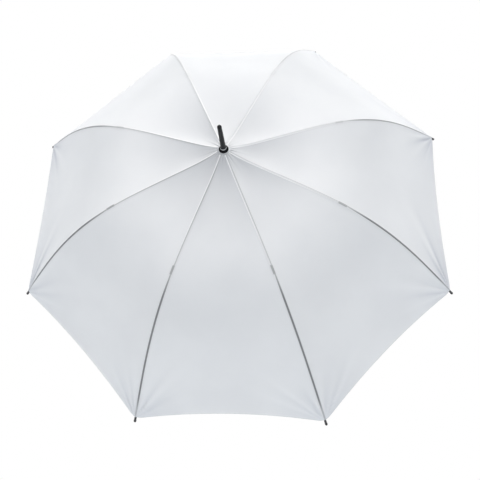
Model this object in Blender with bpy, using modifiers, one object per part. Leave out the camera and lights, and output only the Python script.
"""Umbrella reflector: eight-rib white canopy, shown open, on a bare tubular shaft.

Units are metres.  +Z runs along the shaft towards the ferrule; the origin is the
centre of the flat face at the shaft's free lower end.  Rib 1 stands at azimuth
22.5 deg and the others follow every 45 deg, anticlockwise seen from above.
Rib pieces are drawn in the XZ plane, +X away from the shaft, and then turned about Z.
"""
import math

import bmesh
import bpy
from mathutils import Matrix, Vector

MM = 0.001

# ----------------------------------------------------------------- driving dimensions
RIB_COUNT = 8
RIB_AZIMUTH = math.radians(22.5)          # azimuth of rib 1
TIP_RADIUS = 500 * MM                     # shaft axis to the end of a rib tip
PIVOT_Z = 712 * MM                        # height of the wire that carries the ribs
PIVOT_R = 7.6 * MM                        # radius of that wire ring
WIRE_R = 0.5 * MM
GAP = 0.3 * MM                            # clearance between neighbouring parts

# Dome rule: slopes in degrees, bend positions as shares of TIP_RADIUS
SLOPE_CROWN = 7.0                         # slope at the crown
SLOPE_RISE = 10.0                         # even increase from crown to rib tip
SLOPE_BEND = 33.0                         # extra slope gained in the bent outer part
BEND_START, BEND_LENGTH = 0.30, 0.60
LEVEL_R, LEVEL_BLEND = 8 * MM, 8 * MM     # level up to here, full slope one blend further out
RULE_STEP = 0.5 * MM                      # step of the height table and of the tangent
RULE_STEPS = 1040

# Cloth
FABRIC_RISE = 6.2 * MM                    # cloth above the rib pivot, by the dome rule alone
CROWN_LIFT = 8.0 * MM                     # height of the low cone the hub raises in the cloth
CROWN_FLAT, CROWN_REACH = 9.5 * MM, 35 * MM   # cone's flat radius and fading length
FABRIC_THICK = 0.5 * MM
FABRIC_HOLE_R = 5.0 * MM
FABRIC_CORNER_R = 495 * MM                # where the cloth is sewn to a rib tip
HEM_SCALLOP = 11 * MM                     # hem curves inwards between two ribs
GORE_SAG = 6.5 * MM                       # cloth dips between two ribs
SAG_END = 0.98 * TIP_RADIUS               # the dip has faded out at this radius
SAG_START_R, SAG_BLEND = 10 * MM, 50 * MM     # the dip fades in over this length
GORE_GAP = 0.2 * MM                       # half clearance between two panels
FIRST_ROW = 6 * MM                        # first inner mesh row beyond the hole's edge
PANEL_ROWS, PANEL_COLUMNS = 12, 4

# Ribs
RIB_DROP = 3.7 * MM                       # rib centre line below the cloth
RIB_RELAX = 25 * MM                       # length over which the rib reaches that drop
CHANNEL_W, CHANNEL_H, CHANNEL_WALL = 3.2 * MM, 2.6 * MM, 0.5 * MM
CHANNEL_START_R = 14.5 * MM
RIB_SPANS = 7                             # straight spans in a rib channel and in a rod
TONGUE_T, TONGUE_H = 1.2 * MM, 2.5 * MM
RIB_TONGUE, STRETCHER_TONGUE = 14.5 * MM, 18 * MM
TONGUE_AIM = 5 * MM                       # rib tongue aims this far beyond the channel's start
EYE_R, EYE_HOLE_R = 1.7 * MM, 1.0 * MM
ROD_R = 1.6 * MM
TIP_LENGTH, TIP_R = 12 * MM, 2.3 * MM
TIP_END_WALL = 2.0 * MM                   # solid end of a tip, beyond its bore
TIP_LIP = 0.5 * MM                        # bevel length at the tip's open end
# Rounded inner end of the rod: (distance along the rib, radius), shares of ROD_R
ROD_NOSE = [(-0.98, 0.2), (-0.70, 0.714), (0.0, 1.0)]

# Rib connectors, with the rivet that carries the stretcher
JOINT_RHO = 241 * MM                      # radius of the connector's centre
JOINT_HALF = 8.5 * MM
JOINT_R = 2.4 * MM
LUG_DROP = 5.5 * MM                       # rivet below the rib centre line
LUG_START = 0.4 * MM                      # top of the lug block below the same line
LUG_W, LUG_T = 4.2 * MM, 1.8 * MM
LUG_EYE_R = 2.1 * MM
RIVET_R, RIVET_LENGTH = 0.8 * MM, 4.8 * MM
RIVET_HEAD_R, RIVET_HEAD_T = 1.5 * MM, 0.6 * MM

# Stretchers
STRETCHER_LENGTH = 248 * MM
STRETCHER_W, STRETCHER_H = 3.6 * MM, 2.6 * MM
STRETCHER_OVERRUN = 1.8 * MM              # channel beyond the rivet
STRETCHER_SHORT = 12.5 * MM               # channel stops short of the runner wire
FORK_CENTRE = 1.5 * MM                    # fork cut, from the rivet along the stretcher
FORK_SIZE = (9 * MM, 2.6 * MM, 6 * MM)
RIVET_PLAY = 0.35 * MM
RUNNER_PIVOT_R = 11 * MM                  # radius of the runner's wire ring
FOLD_ANGLE = math.radians(74.8)           # how far a rib swings down about the wire

# Shaft
SHAFT_R, SHAFT_BORE = 4.0 * MM, 3.4 * MM
SHAFT_BEVEL = 0.2 * MM
SHAFT_ABOVE_CROWN = 6.0 * MM              # shaft top above the lifted crown datum
PLUG_FACE = 2.0 * MM                      # top of the plug's flange
SLOT_NEAR = 7 * MM                        # catch slot starts this far from the cross pin
SLOT_PLAY = 1.2 * MM                      # slot beyond the end of the catch
SLOT_W = 1.9 * MM
CROSS_HOLE_R, PIN_HOLE_R = 1.0 * MM, 1.1 * MM
PIN_R = 0.8 * MM
CATCH_T = 1.2 * MM
CROSS_PIN_R, CROSS_PIN_LENGTH = 0.7 * MM, 7.6 * MM
PLAY = 0.6 * MM                           # runner to catch or stop pin
HUB_SLOT_W = 2.0 * MM                     # radial slots in the notch and the runner
WINDOW_TOP, WINDOW_LOW = 8.0 * MM, 26.0 * MM   # runner window, below the runner wire
WINDOW_X, WINDOW_W = 6.4 * MM, 2.4 * MM   # its cutter's radial centre and depth; its width

# Outlines in mm: (radius, height).  The notch and runner are measured from their
# wires, the washer, cap and ferrule from CROWN_LIFT above the notch wire.
BORE = 4.3                                # bore of the parts around the shaft
NOTCH_FLANGE = [(8.7, 5.0), (9.2, 4.5), (9.2, 3.4), (7.8, 2.4)]   # raised by CROWN_LIFT
NOTCH_BODY = [(7.8, 5.0), (9.2, 4.0), (9.2, 0.8), (6.9, 0.8), (6.9, -0.8), (9.2, -0.8),
              (9.2, -4.5), (8.7, -5.0), (6.2, -5.0), (6.2, -11.0), (5.7, -11.5),
              (BORE, -11.5)]
NOTCH_BORE_TOP = [(BORE, 5.0)]                                    # raised by CROWN_LIFT
WASHER_OUTLINE = [(8.8, 5.65), (9.0, 5.5), (9.0, 5.3), (BORE, 5.3), (BORE, 5.65)]
CAP_OUTLINE = [(5.75, 14.6), (5.9, 14.3), (6.3, 11.6), (7.2, 9.9), (8.6, 9.0), (9.2, 8.4),
               (9.2, 7.0), (9.0, 6.75), (BORE, 6.75), (BORE, 8.5), (5.45, 8.5), (5.45, 14.6)]
RUNNER_OUTLINE = [(12.3, 4.6), (12.8, 4.1), (12.8, 0.8), (10.3, 0.8), (10.3, -0.8),
                  (12.8, -0.8), (12.8, -4.1), (12.3, -4.6), (8.4, -6.2), (6.5, -9.0),
                  (6.3, -33.0), (7.5, -34.5), (7.5, -37.4), (6.9, -38.0), (BORE, -38.0),
                  (BORE, 4.6)]
PLUG_OUTLINE = [(0.0, 14.0), (2.6, 14.0), (3.1, 13.5), (3.1, PLUG_FACE / MM),
                (3.9, PLUG_FACE / MM), (3.9, 0.5), (3.4, 0.0), (0.0, 0.0)]
# Ferrule, all in mm
FERRULE_TOP = 91.7 - CROWN_LIFT / MM
FERRULE_BASE = 8.8
FERRULE_BASE_R, FERRULE_NOSE_R = 5.1, 4.1
FERRULE_DOME = 3.2                        # height of the rounded nose
DOME_STEPS = 4
# (radius, height above FERRULE_BASE), from the collar down to the spigot in the shaft
FERRULE_FOOT = [(FERRULE_BASE_R - 0.15, 8.1), (FERRULE_BASE_R + 0.55, 7.6),
                (FERRULE_BASE_R + 0.55, 6.3), (FERRULE_BASE_R, 6.1), (FERRULE_BASE_R, 0.0),
                (3.1, 0.0), (3.1, -24.0), (2.7, -24.5), (0.0, -24.5)]
# Catch wedge in mm: (x, distance from the cross pin along the shaft)
CATCH_OUTLINE = [(-1.1, -1.3), (1.1, -1.3), (2.0, 3.0), (2.7, 9.0), (3.4, 13.8), (4.2, 15.6),
                 (6.3, 20.4), (6.3, 22.0), (1.0, 22.0), (0.2, 14.0), (-1.1, 1.3)]
RUNNER_TOP = RUNNER_OUTLINE[0][1] * MM
CATCH_ARM = max(reach for _, reach in CATCH_OUTLINE) * MM


# ----------------------------------------------------------------- shape rules
def smoothstep(x):
    x = min(1.0, max(0.0, x))
    return x * x * (3.0 - 2.0 * x)


def dome_slope(rho):
    """Downward slope of the cloth along a rib, radians."""
    share = rho / TIP_RADIUS
    bend = smoothstep((share - BEND_START) / BEND_LENGTH)
    return math.radians(SLOPE_CROWN + SLOPE_RISE * share + SLOPE_BEND * bend)


def dome_grade(rho):
    """Fall per unit of radius, eased to level at the crown."""
    return math.tan(dome_slope(rho)) * min(1.0, max(0.0, (rho - LEVEL_R) / LEVEL_BLEND))


def integrate_fall():
    """Fall of the dome at every RULE_STEP of radius, by the trapezium rule."""
    falls = [0.0]
    for k in range(RULE_STEPS):
        grades = dome_grade(k * RULE_STEP) + dome_grade((k + 1) * RULE_STEP)
        falls.append(falls[-1] + 0.5 * grades * RULE_STEP)
    return falls


FALLS = integrate_fall()


def cloth_z(rho):
    """Height of the cloth's middle surface over a rib, by the dome rule alone."""
    position = rho / RULE_STEP
    k = int(position)
    return PIVOT_Z + FABRIC_RISE - (FALLS[k] + (FALLS[k + 1] - FALLS[k]) * (position - k))


def cover_z(rho):
    """Height of the cloth, with the cone the hub raises at the crown."""
    return cloth_z(rho) + CROWN_LIFT * math.exp(-max(0.0, rho - CROWN_FLAT) / CROWN_REACH)


def below_cloth_z(rho):
    return cloth_z(rho) - RIB_DROP / math.cos(dome_slope(rho))


PIVOT_OFFSET = below_cloth_z(PIVOT_R) - PIVOT_Z


def rib_point(rho):
    """Point of the rib centre line, which is eased to meet the wire at PIVOT_R."""
    ease = PIVOT_OFFSET * math.exp(-(rho - PIVOT_R) / RIB_RELAX)
    return Vector((rho, 0.0, below_cloth_z(rho) - ease))


def rib_tangent(rho):
    return (rib_point(rho + RULE_STEP) - rib_point(rho - RULE_STEP)).normalized()


def normal_to(direction):
    """Direction in the XZ plane turned 90 deg from +X towards +Z."""
    return Vector((-direction.z, 0.0, direction.x))


def folded(point):
    """Where a point of a rib ends up once the rib has swung down."""
    arm = point - PIVOT
    cos, sin = math.cos(FOLD_ANGLE), math.sin(FOLD_ANGLE)
    return Vector((PIVOT.x + arm.x * cos + arm.z * sin, 0.0,
                   PIVOT.z - arm.x * sin + arm.z * cos))


def runner_height(lug):
    """Height of the runner wire when the stretcher rivets are at lug."""
    return lug.z - math.sqrt(STRETCHER_LENGTH ** 2 - (lug.x - RUNNER_PIVOT_R) ** 2)


PIVOT = Vector((PIVOT_R, 0.0, PIVOT_Z))
JOINT_CENTRE = rib_point(JOINT_RHO)
JOINT_AXIS = rib_tangent(JOINT_RHO)
LUG = JOINT_CENTRE - normal_to(JOINT_AXIS) * LUG_DROP
FLEX = JOINT_CENTRE + JOINT_AXIS * (JOINT_HALF + GAP + ROD_R)     # inner end of the rod
TIP_END = rib_point(TIP_RADIUS)
TIP_AXIS = rib_tangent(TIP_RADIUS - TIP_LENGTH / 2)

RUNNER_Z = runner_height(LUG)
RUNNER_PIVOT = Vector((RUNNER_PIVOT_R, 0.0, RUNNER_Z))
TOP_CATCH_Z = RUNNER_Z - WINDOW_TOP - PLAY - CATCH_ARM
LOWER_CATCH_Z = runner_height(folded(LUG)) + RUNNER_TOP + PLAY + CATCH_ARM
STOP_PIN_Z = RUNNER_Z + RUNNER_TOP + PLAY + PIN_R

# ----------------------------------------------------------------- scene and materials
for old in list(bpy.data.objects):
    bpy.data.objects.remove(old, do_unlink=True)
for old in list(bpy.data.collections):
    bpy.data.collections.remove(old)
PARTS = bpy.data.collections.new("umbrella_reflector")
bpy.context.scene.collection.children.link(PARTS)

# name: (base colour, metallic, roughness)
MATERIALS = {
    "rib_channel_paint": ((0.30, 0.31, 0.33), 0.6, 0.45),
    "rib_joint_black": ((0.05, 0.05, 0.055), 0.0, 0.5),
    "rib_rod_dark": ((0.10, 0.10, 0.11), 0.1, 0.45),
    "rib_tip_black": ((0.04, 0.04, 0.045), 0.0, 0.5),
    "stretcher_steel": ((0.42, 0.43, 0.45), 0.8, 0.4),
    "canopy_white_cloth": ((0.90, 0.91, 0.92), 0.0, 0.8),
    "shaft_steel": ((0.62, 0.63, 0.65), 1.0, 0.3),
    "ferrule_black": ((0.03, 0.03, 0.033), 0.0, 0.35),
    "ferrule_cap_black": ((0.04, 0.04, 0.043), 0.2, 0.35),
    "notch_nylon": ((0.06, 0.06, 0.065), 0.0, 0.5),
    "wire_steel": ((0.70, 0.70, 0.72), 1.0, 0.3),
    "runner_nylon": ((0.05, 0.05, 0.055), 0.0, 0.5),
    "catch_spring_steel": ((0.60, 0.60, 0.62), 1.0, 0.35),
    "end_plug_black": ((0.05, 0.05, 0.05), 0.0, 0.55),
    "stop_pin_steel": ((0.65, 0.65, 0.67), 1.0, 0.3),
    "crown_washer_steel": ((0.62, 0.62, 0.64), 1.0, 0.4),
}


def make_material(name, colour, metallic, roughness):
    mat = bpy.data.materials.new(name)
    mat.use_nodes = True
    inputs = mat.node_tree.nodes["Principled BSDF"].inputs
    inputs["Base Color"].default_value = (*colour, 1.0)
    inputs["Metallic"].default_value = metallic
    inputs["Roughness"].default_value = roughness
    mat.diffuse_color = (*colour, 1.0)
    return mat


MAT = {name: make_material(name, *look) for name, look in MATERIALS.items()}


# ----------------------------------------------------------------- mesh helpers
def add_object(name, data):
    ob = bpy.data.objects.new(name, data)
    PARTS.objects.link(ob)
    return ob


def add_bmesh(name, bm):
    """Object from a bmesh, which is freed."""
    mesh = bpy.data.meshes.new(name)
    bm.to_mesh(mesh)
    bm.free()
    return add_object(name, mesh)


def evaluated(ob):
    bpy.context.view_layer.update()
    deps = bpy.context.evaluated_depsgraph_get()
    return bpy.data.meshes.new_from_object(ob.evaluated_get(deps))


def bake(ob):
    """Replace an object's mesh by its evaluated one."""
    mesh = evaluated(ob)
    ob.modifiers.clear()
    ob.data = mesh


def outward(mesh, merge=1e-7):
    """Merge coincident vertices and turn every face outwards."""
    bm = bmesh.new()
    bm.from_mesh(mesh)
    bmesh.ops.remove_doubles(bm, verts=bm.verts, dist=merge)
    bmesh.ops.recalc_face_normals(bm, faces=bm.faces)
    if bm.calc_volume(signed=True) < 0:
        bmesh.ops.reverse_faces(bm, faces=bm.faces)
    bm.to_mesh(mesh)
    bm.free()


def combine(base, tool, operation):
    """Boolean base with tool, and use up the tool."""
    mod = base.modifiers.new("bool", "BOOLEAN")
    mod.operation = operation
    mod.solver = "EXACT"
    mod.object = tool
    bake(base)
    bpy.data.objects.remove(tool, do_unlink=True)


def in_metres(outline, rise=0.0):
    """Outline given in mm, raised by a height in metres."""
    return [(r * MM, z * MM + rise) for r, z in outline]


def mirrored(half):
    """Outline completed by its reflection in z = 0."""
    return half + [(r, -z) for r, z in reversed(half)]


def lathe(name, outline, steps, closed=True):
    """Turn an (r, z) outline about Z; it runs down its outer side."""
    mesh = bpy.data.meshes.new(name)
    verts = [(r, 0.0, z) for r, z in outline]
    edges = [(k, k + 1) for k in range(len(verts) - 1)]
    if closed:
        edges.append((len(verts) - 1, 0))
    mesh.from_pydata(verts, edges, [])
    ob = add_object(name, mesh)
    mod = ob.modifiers.new("turn", "SCREW")
    mod.axis = "Z"
    mod.angle = 2 * math.pi
    mod.steps = steps
    mod.render_steps = steps
    mod.use_merge_vertices = True
    mod.merge_threshold = 1e-6
    mod.use_normal_calculate = True
    bake(ob)
    outward(ob.data)
    return ob


def add_box(bm, centre, size):
    verts = bmesh.ops.create_cube(bm, size=1.0)["verts"]
    bmesh.ops.scale(bm, vec=size, verts=verts)
    bmesh.ops.translate(bm, vec=centre, verts=verts)
    return verts


def block(name, centre, size, frame=Matrix.Identity(4)):
    bm = bmesh.new()
    verts = add_box(bm, centre, size)
    bmesh.ops.transform(bm, matrix=frame, verts=verts)
    return add_bmesh(name, bm)


def cylinder_y(name, centre, radius, length, segments):
    """Cylinder whose axis is the tangential direction Y."""
    bm = bmesh.new()
    bmesh.ops.create_cone(bm, cap_ends=True, segments=segments, radius1=radius,
                          radius2=radius, depth=length)
    bmesh.ops.rotate(bm, matrix=Matrix.Rotation(math.pi / 2, 3, "X"), verts=bm.verts)
    bmesh.ops.translate(bm, vec=centre, verts=bm.verts)
    return add_bmesh(name, bm)


def drill(ob, centre, radius, segments=10):
    """Hole along Y, right through any piece."""
    combine(ob, cylinder_y("drill", centre, radius, 12 * MM, segments), "DIFFERENCE")


def sheet(name, columns, rows, place, thickness):
    """Grid laid out by place(u, v), both 0..1, then thickened evenly to both sides."""
    bm = bmesh.new()
    bmesh.ops.create_grid(bm, x_segments=columns, y_segments=rows, size=1.0)
    for v in bm.verts:
        v.co = place((v.co.x + 1) / 2, (v.co.y + 1) / 2)
    ob = add_bmesh(name, bm)
    mod = ob.modifiers.new("thick", "SOLIDIFY")
    mod.thickness = thickness
    mod.offset = 0.0
    mod.use_even_offset = True
    mod.use_rim = True
    bake(ob)
    outward(ob.data)
    return ob


def rod_along(name, points, radii):
    """Round rod through the points, with flat ends."""
    curve = bpy.data.curves.new(name, "CURVE")
    curve.dimensions = "3D"
    curve.bevel_depth = 1.0
    curve.bevel_resolution = 2
    curve.use_fill_caps = True
    spline = curve.splines.new("POLY")
    spline.points.add(len(points) - 1)
    for knot, point, radius in zip(spline.points, points, radii):
        knot.co = (*point, 1.0)
        knot.radius = radius
    path = add_object(name, curve)
    mesh = evaluated(path)
    bpy.data.objects.remove(path, do_unlink=True)
    outward(mesh, merge=1e-6)      # also joins the end caps to the rod
    return add_object(name, mesh)


def frame_at(point, direction):
    """Local X along direction, local Y tangential, local Z the normal."""
    x = direction.normalized()
    frame = Matrix((x, Vector((0.0, 1.0, 0.0)), normal_to(x))).transposed().to_4x4()
    frame.translation = point
    return frame


def lay_along(ob, point, direction):
    """Move a turned piece so its Z axis leaves point along direction."""
    ob.data.transform(frame_at(point, direction) @ Matrix.Rotation(math.pi / 2, 4, "Y"))


def add_tongue(ob, eye, direction, length):
    """Join on a flat tongue with a round eye, lying in the radial plane, and drill it."""
    plate = block("tongue", (length / 2, 0, 0), (length, TONGUE_T, TONGUE_H),
                  frame_at(eye, direction))
    combine(plate, cylinder_y("eye", eye, EYE_R, TONGUE_T, 12), "UNION")
    combine(ob, plate, "UNION")


def channel(name, start, end, spans, point, tangent, width, height):
    """Sheet-metal channel along a rule, its web on the normal's side."""
    half_w, half_h = (width - CHANNEL_WALL) / 2, (height - CHANNEL_WALL) / 2
    # section of the wall's middle surface: (tangential, along the normal)
    section = [(-half_w, -half_h), (-half_w, half_h), (half_w, half_h), (half_w, -half_h)]

    def place(u, v):
        station = start + (end - start) * u
        side, rise = section[round(v * 3)]
        return point(station) + normal_to(tangent(station)) * rise + Vector((0.0, side, 0.0))
    return sheet(name, spans, 3, place, CHANNEL_WALL)


def rib_turn(k):
    return Matrix.Rotation(RIB_AZIMUTH + k * 2 * math.pi / RIB_COUNT, 4, "Z")


def radial_slots(inner, outer, low, high):
    """Eight radial slots as one cutter."""
    bm = bmesh.new()
    for k in range(RIB_COUNT):
        verts = add_box(bm, ((outer + inner) / 2, 0, (high + low) / 2),
                        (outer - inner, HUB_SLOT_W, high - low))
        bmesh.ops.transform(bm, matrix=rib_turn(k), verts=verts)
    return add_bmesh("slots", bm)


def finish(ob, material, height=0.0, sharp_angle=32.0):
    """Give a piece its material and shading, and set its origin on the shaft axis."""
    mesh = ob.data
    outward(mesh)
    mesh.name = ob.name
    mesh.materials.clear()
    mesh.materials.append(MAT[material])
    mesh.shade_smooth()
    mesh.set_sharp_from_angle(angle=math.radians(sharp_angle))
    ob.location = (0, 0, height)


def finish_around(ob, material, origin, sharp_angle=32.0):
    """Finish a rib piece about its pivot, then repeat it about the shaft, sharing the mesh."""
    base = ob.name
    ob.data.transform(Matrix.Translation(-origin))
    finish(ob, material, sharp_angle=sharp_angle)
    ob.name = base + "_1"
    copies = [ob]
    for k in range(1, RIB_COUNT):
        copies.append(add_object("%s_%d" % (base, k + 1), ob.data))
    for k, copy in enumerate(copies):
        copy.matrix_world = rib_turn(k) @ Matrix.Translation(origin)


# ----------------------------------------------------------------- ribs
def build_rib_channel():
    end = JOINT_RHO - (JOINT_HALF + GAP) * JOINT_AXIS.x
    ob = channel("rib_channel", CHANNEL_START_R, end, RIB_SPANS, rib_point, rib_tangent,
                 CHANNEL_W, CHANNEL_H)
    add_tongue(ob, PIVOT, rib_point(CHANNEL_START_R + TONGUE_AIM) - PIVOT, RIB_TONGUE)
    drill(ob, PIVOT, EYE_HOLE_R)
    finish_around(ob, "rib_channel_paint", PIVOT)


def build_rib_joint():
    """Barrel with a lug below it and a riveted cross pin."""
    half, r = JOINT_HALF, JOINT_R
    outline = mirrored([(0.0, half), (0.72 * r, half), (0.86 * r, half - 0.6 * MM),
                        (r, half - 3.2 * MM)])
    ob = lathe("rib_joint", outline, 10, closed=False)
    lay_along(ob, JOINT_CENTRE, JOINT_AXIS)
    lug = block("lug", (0, 0, -(LUG_DROP + LUG_START) / 2), (LUG_W, LUG_T, LUG_DROP - LUG_START),
                frame_at(JOINT_CENTRE, JOINT_AXIS))
    combine(ob, lug, "UNION")
    combine(ob, cylinder_y("lug_eye", LUG, LUG_EYE_R, LUG_T, 10), "UNION")
    combine(ob, cylinder_y("rivet", LUG, RIVET_R, RIVET_LENGTH, 8), "UNION")
    for side in (-1, 1):
        centre = LUG + Vector((0, side * RIVET_LENGTH / 2, 0))
        combine(ob, cylinder_y("rivet_head", centre, RIVET_HEAD_R, RIVET_HEAD_T, 8), "UNION")
    finish_around(ob, "rib_joint_black", PIVOT)


def build_rib_rod():
    """Bent rod from the connector into the tip's bore."""
    tip_mouth = TIP_END - TIP_AXIS * (TIP_LENGTH - TIP_LIP)
    stop = TIP_END - TIP_AXIS * (TIP_END_WALL + GAP)
    lead = rib_tangent(FLEX.x)
    points = [FLEX + lead * (ROD_R * along) for along, _ in ROD_NOSE]
    radii = [ROD_R * radius for _, radius in ROD_NOSE]
    for k in range(1, RIB_SPANS):
        points.append(rib_point(FLEX.x + (tip_mouth.x - FLEX.x) * k / RIB_SPANS))
    points += [tip_mouth, stop]
    radii += [ROD_R] * (len(points) - len(radii))
    finish_around(rod_along("rib_rod", points, radii), "rib_rod_dark", FLEX, 50.0)


def build_rib_tip():
    length, r, bore = TIP_LENGTH, TIP_R, ROD_R + GAP
    outline = [(0.0, 0.0), (0.55 * r, -0.25 * MM), (0.9 * r, -1.1 * MM), (r, -2.4 * MM),
               (r, -length + TIP_LIP), (0.93 * r, -length), (bore, -length),
               (bore, -TIP_END_WALL), (0.0, -TIP_END_WALL)]
    ob = lathe("rib_tip", outline, 10, closed=False)
    lay_along(ob, TIP_END, TIP_AXIS)
    finish_around(ob, "rib_tip_black", FLEX, 40.0)


def build_stretcher():
    """Channel from the lug to the runner, web downwards, forked at the lug."""
    direction = (RUNNER_PIVOT - LUG).normalized()
    ob = channel("stretcher", -STRETCHER_OVERRUN, STRETCHER_LENGTH - STRETCHER_SHORT, 1,
                 lambda s: LUG + direction * s, lambda s: direction,
                 STRETCHER_W, STRETCHER_H)
    add_tongue(ob, RUNNER_PIVOT, -direction, STRETCHER_TONGUE)
    fork = block("fork", (FORK_CENTRE, 0, 0), FORK_SIZE, frame_at(LUG, direction))
    combine(ob, fork, "DIFFERENCE")
    drill(ob, LUG, RIVET_R + RIVET_PLAY)
    drill(ob, RUNNER_PIVOT, EYE_HOLE_R)
    finish_around(ob, "stretcher_steel", LUG)


# ----------------------------------------------------------------- canopy
HALF_ANGLE = math.pi / RIB_COUNT
HALF_CHORD = math.cos(HALF_ANGLE) * math.sin(HALF_ANGLE)      # per unit of rib radius


def canopy_point(u, v):
    """u: 0..1 crown to hem, v: -1..1 from one mid-gore over the rib to the next."""
    pull = 1.0 - (1.0 - abs(v)) ** 2
    edge = FABRIC_CORNER_R - HEM_SCALLOP * pull
    rho = FABRIC_HOLE_R + (edge - FABRIC_HOLE_R) * u
    y = rho * HALF_CHORD * v
    x = rho - abs(y) * math.tan(HALF_ANGLE)
    if abs(v) > 0.999:                      # panel edge: leave the clearance
        y -= math.copysign(GORE_GAP / math.cos(HALF_ANGLE), v)
    sag = GORE_SAG * math.sin(math.pi * min(1.0, rho / SAG_END)) * pull
    sag *= smoothstep((rho - SAG_START_R) / SAG_BLEND)
    return Vector((x, y, cover_z(rho) - sag))


def build_canopy():
    """One panel over each rib, from mid-gore to mid-gore."""
    first = FIRST_ROW / (FABRIC_CORNER_R - FABRIC_HOLE_R)

    def place(u, v):
        row = round(u * PANEL_ROWS)
        share = first + (1.0 - first) * (row - 1) / (PANEL_ROWS - 1) if row else 0.0
        return canopy_point(share, 2 * v - 1)
    ob = sheet("canopy_panel", PANEL_ROWS, PANEL_COLUMNS, place, FABRIC_THICK)
    finish_around(ob, "canopy_white_cloth", PIVOT, 60.0)


# ----------------------------------------------------------------- crown hardware
def build_wire(name, radius, steps, height):
    """Wire ring with a hexagonal section."""
    sides = 6
    angles = [-2 * math.pi * k / sides for k in range(sides)]
    loop = [(radius + WIRE_R * math.cos(a), WIRE_R * math.sin(a)) for a in angles]
    finish(lathe(name, loop, steps), "wire_steel", height, 70.0)


def build_notch():
    outline = (in_metres(NOTCH_FLANGE, CROWN_LIFT) + in_metres(NOTCH_BODY)
               + in_metres(NOTCH_BORE_TOP, CROWN_LIFT))
    ob = lathe("top_notch", outline, 24)
    combine(ob, radial_slots(5.5 * MM, 11 * MM, -7 * MM, 3 * MM), "DIFFERENCE")
    finish(ob, "notch_nylon", PIVOT_Z)


def build_washer():
    ob = lathe("crown_washer", in_metres(WASHER_OUTLINE, CROWN_LIFT), 20)
    finish(ob, "crown_washer_steel", PIVOT_Z)


def build_ferrule_cap():
    ob = lathe("ferrule_cap", in_metres(CAP_OUTLINE), 24)
    finish(ob, "ferrule_cap_black", PIVOT_Z + CROWN_LIFT, 50.0)


def build_ferrule():
    outline = []
    for k in range(DOME_STEPS + 1):
        a = math.pi / 2 * k / DOME_STEPS
        outline.append((FERRULE_NOSE_R * math.sin(a),
                        FERRULE_TOP - FERRULE_DOME + FERRULE_DOME * math.cos(a)))
    outline += [(r, FERRULE_BASE + z) for r, z in FERRULE_FOOT]
    ob = lathe("ferrule", in_metres(outline), 16, closed=False)
    finish(ob, "ferrule_black", PIVOT_Z + CROWN_LIFT, 50.0)


# ----------------------------------------------------------------- shaft, runner, catches
def build_shaft():
    """Tube with two catch slots in its +X wall and three cross holes."""
    top = PIVOT_Z + CROWN_LIFT + SHAFT_ABOVE_CROWN
    base = PLUG_FACE + GAP
    ob = lathe("shaft_tube", [(SHAFT_R - SHAFT_BEVEL, top), (SHAFT_R, top - SHAFT_BEVEL),
                              (SHAFT_R, base), (SHAFT_BORE, base), (SHAFT_BORE, top)], 24)
    far = CATCH_ARM + SLOT_PLAY
    for pivot, way in ((TOP_CATCH_Z, 1), (LOWER_CATCH_Z, -1)):
        slot = block("slot", (SHAFT_R, 0, pivot + way * (SLOT_NEAR + far) / 2),
                     (SHAFT_R * 1.2, SLOT_W, far - SLOT_NEAR))
        combine(ob, slot, "DIFFERENCE")
        drill(ob, Vector((0, 0, pivot)), CROSS_HOLE_R, 12)
    drill(ob, Vector((0, 0, STOP_PIN_Z)), PIN_HOLE_R, 12)
    finish(ob, "shaft_steel")


def build_end_plug():
    finish(lathe("end_plug", in_metres(PLUG_OUTLINE), 16, closed=False), "end_plug_black")


def build_stop_pin():
    """Bevelled pin across the shaft along Y."""
    half = in_metres([(0.0, 5.9), (0.5, 5.9)]) + [(PIN_R, 5.6 * MM)]
    ob = lathe("stop_pin", mirrored(half), 12, closed=False)
    ob.data.transform(Matrix.Rotation(math.pi / 2, 4, "X"))
    finish(ob, "stop_pin_steel", STOP_PIN_Z)


def build_runner():
    """Sliding runner with stretcher slots and a window on its +X side."""
    ob = lathe("runner", in_metres(RUNNER_OUTLINE), 24)
    combine(ob, radial_slots(8.9 * MM, 15 * MM, -3.2 * MM, 7 * MM), "DIFFERENCE")
    window = block("window", (WINDOW_X, 0, -(WINDOW_TOP + WINDOW_LOW) / 2),
                   (WINDOW_X, WINDOW_W, WINDOW_LOW - WINDOW_TOP))
    combine(ob, window, "DIFFERENCE")
    finish(ob, "runner_nylon", RUNNER_Z)


def build_catch(name, pivot, way):
    """Sprung wedge with a cross pin; way is +1 when the wedge stands above its pin."""
    bm = bmesh.new()
    bm.faces.new([bm.verts.new((x * MM, 0.0, z * MM * way)) for x, z in CATCH_OUTLINE])
    ob = add_bmesh(name, bm)
    mod = ob.modifiers.new("thick", "SOLIDIFY")
    mod.thickness = CATCH_T
    mod.offset = 0.0
    bake(ob)
    outward(ob.data)
    pin = cylinder_y("cross_pin", Vector((0, 0, 0)), CROSS_PIN_R, CROSS_PIN_LENGTH, 10)
    combine(ob, pin, "UNION")
    finish(ob, "catch_spring_steel", pivot)


build_rib_channel()
build_rib_joint()
build_rib_rod()
build_rib_tip()
build_stretcher()
build_canopy()
build_notch()
build_wire("notch_wire", PIVOT_R, 24, PIVOT_Z)
build_washer()
build_ferrule_cap()
build_ferrule()
build_shaft()
build_end_plug()
build_stop_pin()
build_runner()
build_wire("runner_wire", RUNNER_PIVOT_R, 32, RUNNER_Z)
build_catch("top_catch", TOP_CATCH_Z, 1)
build_catch("lower_catch", LOWER_CATCH_Z, -1)
bpy.context.view_layer.update()
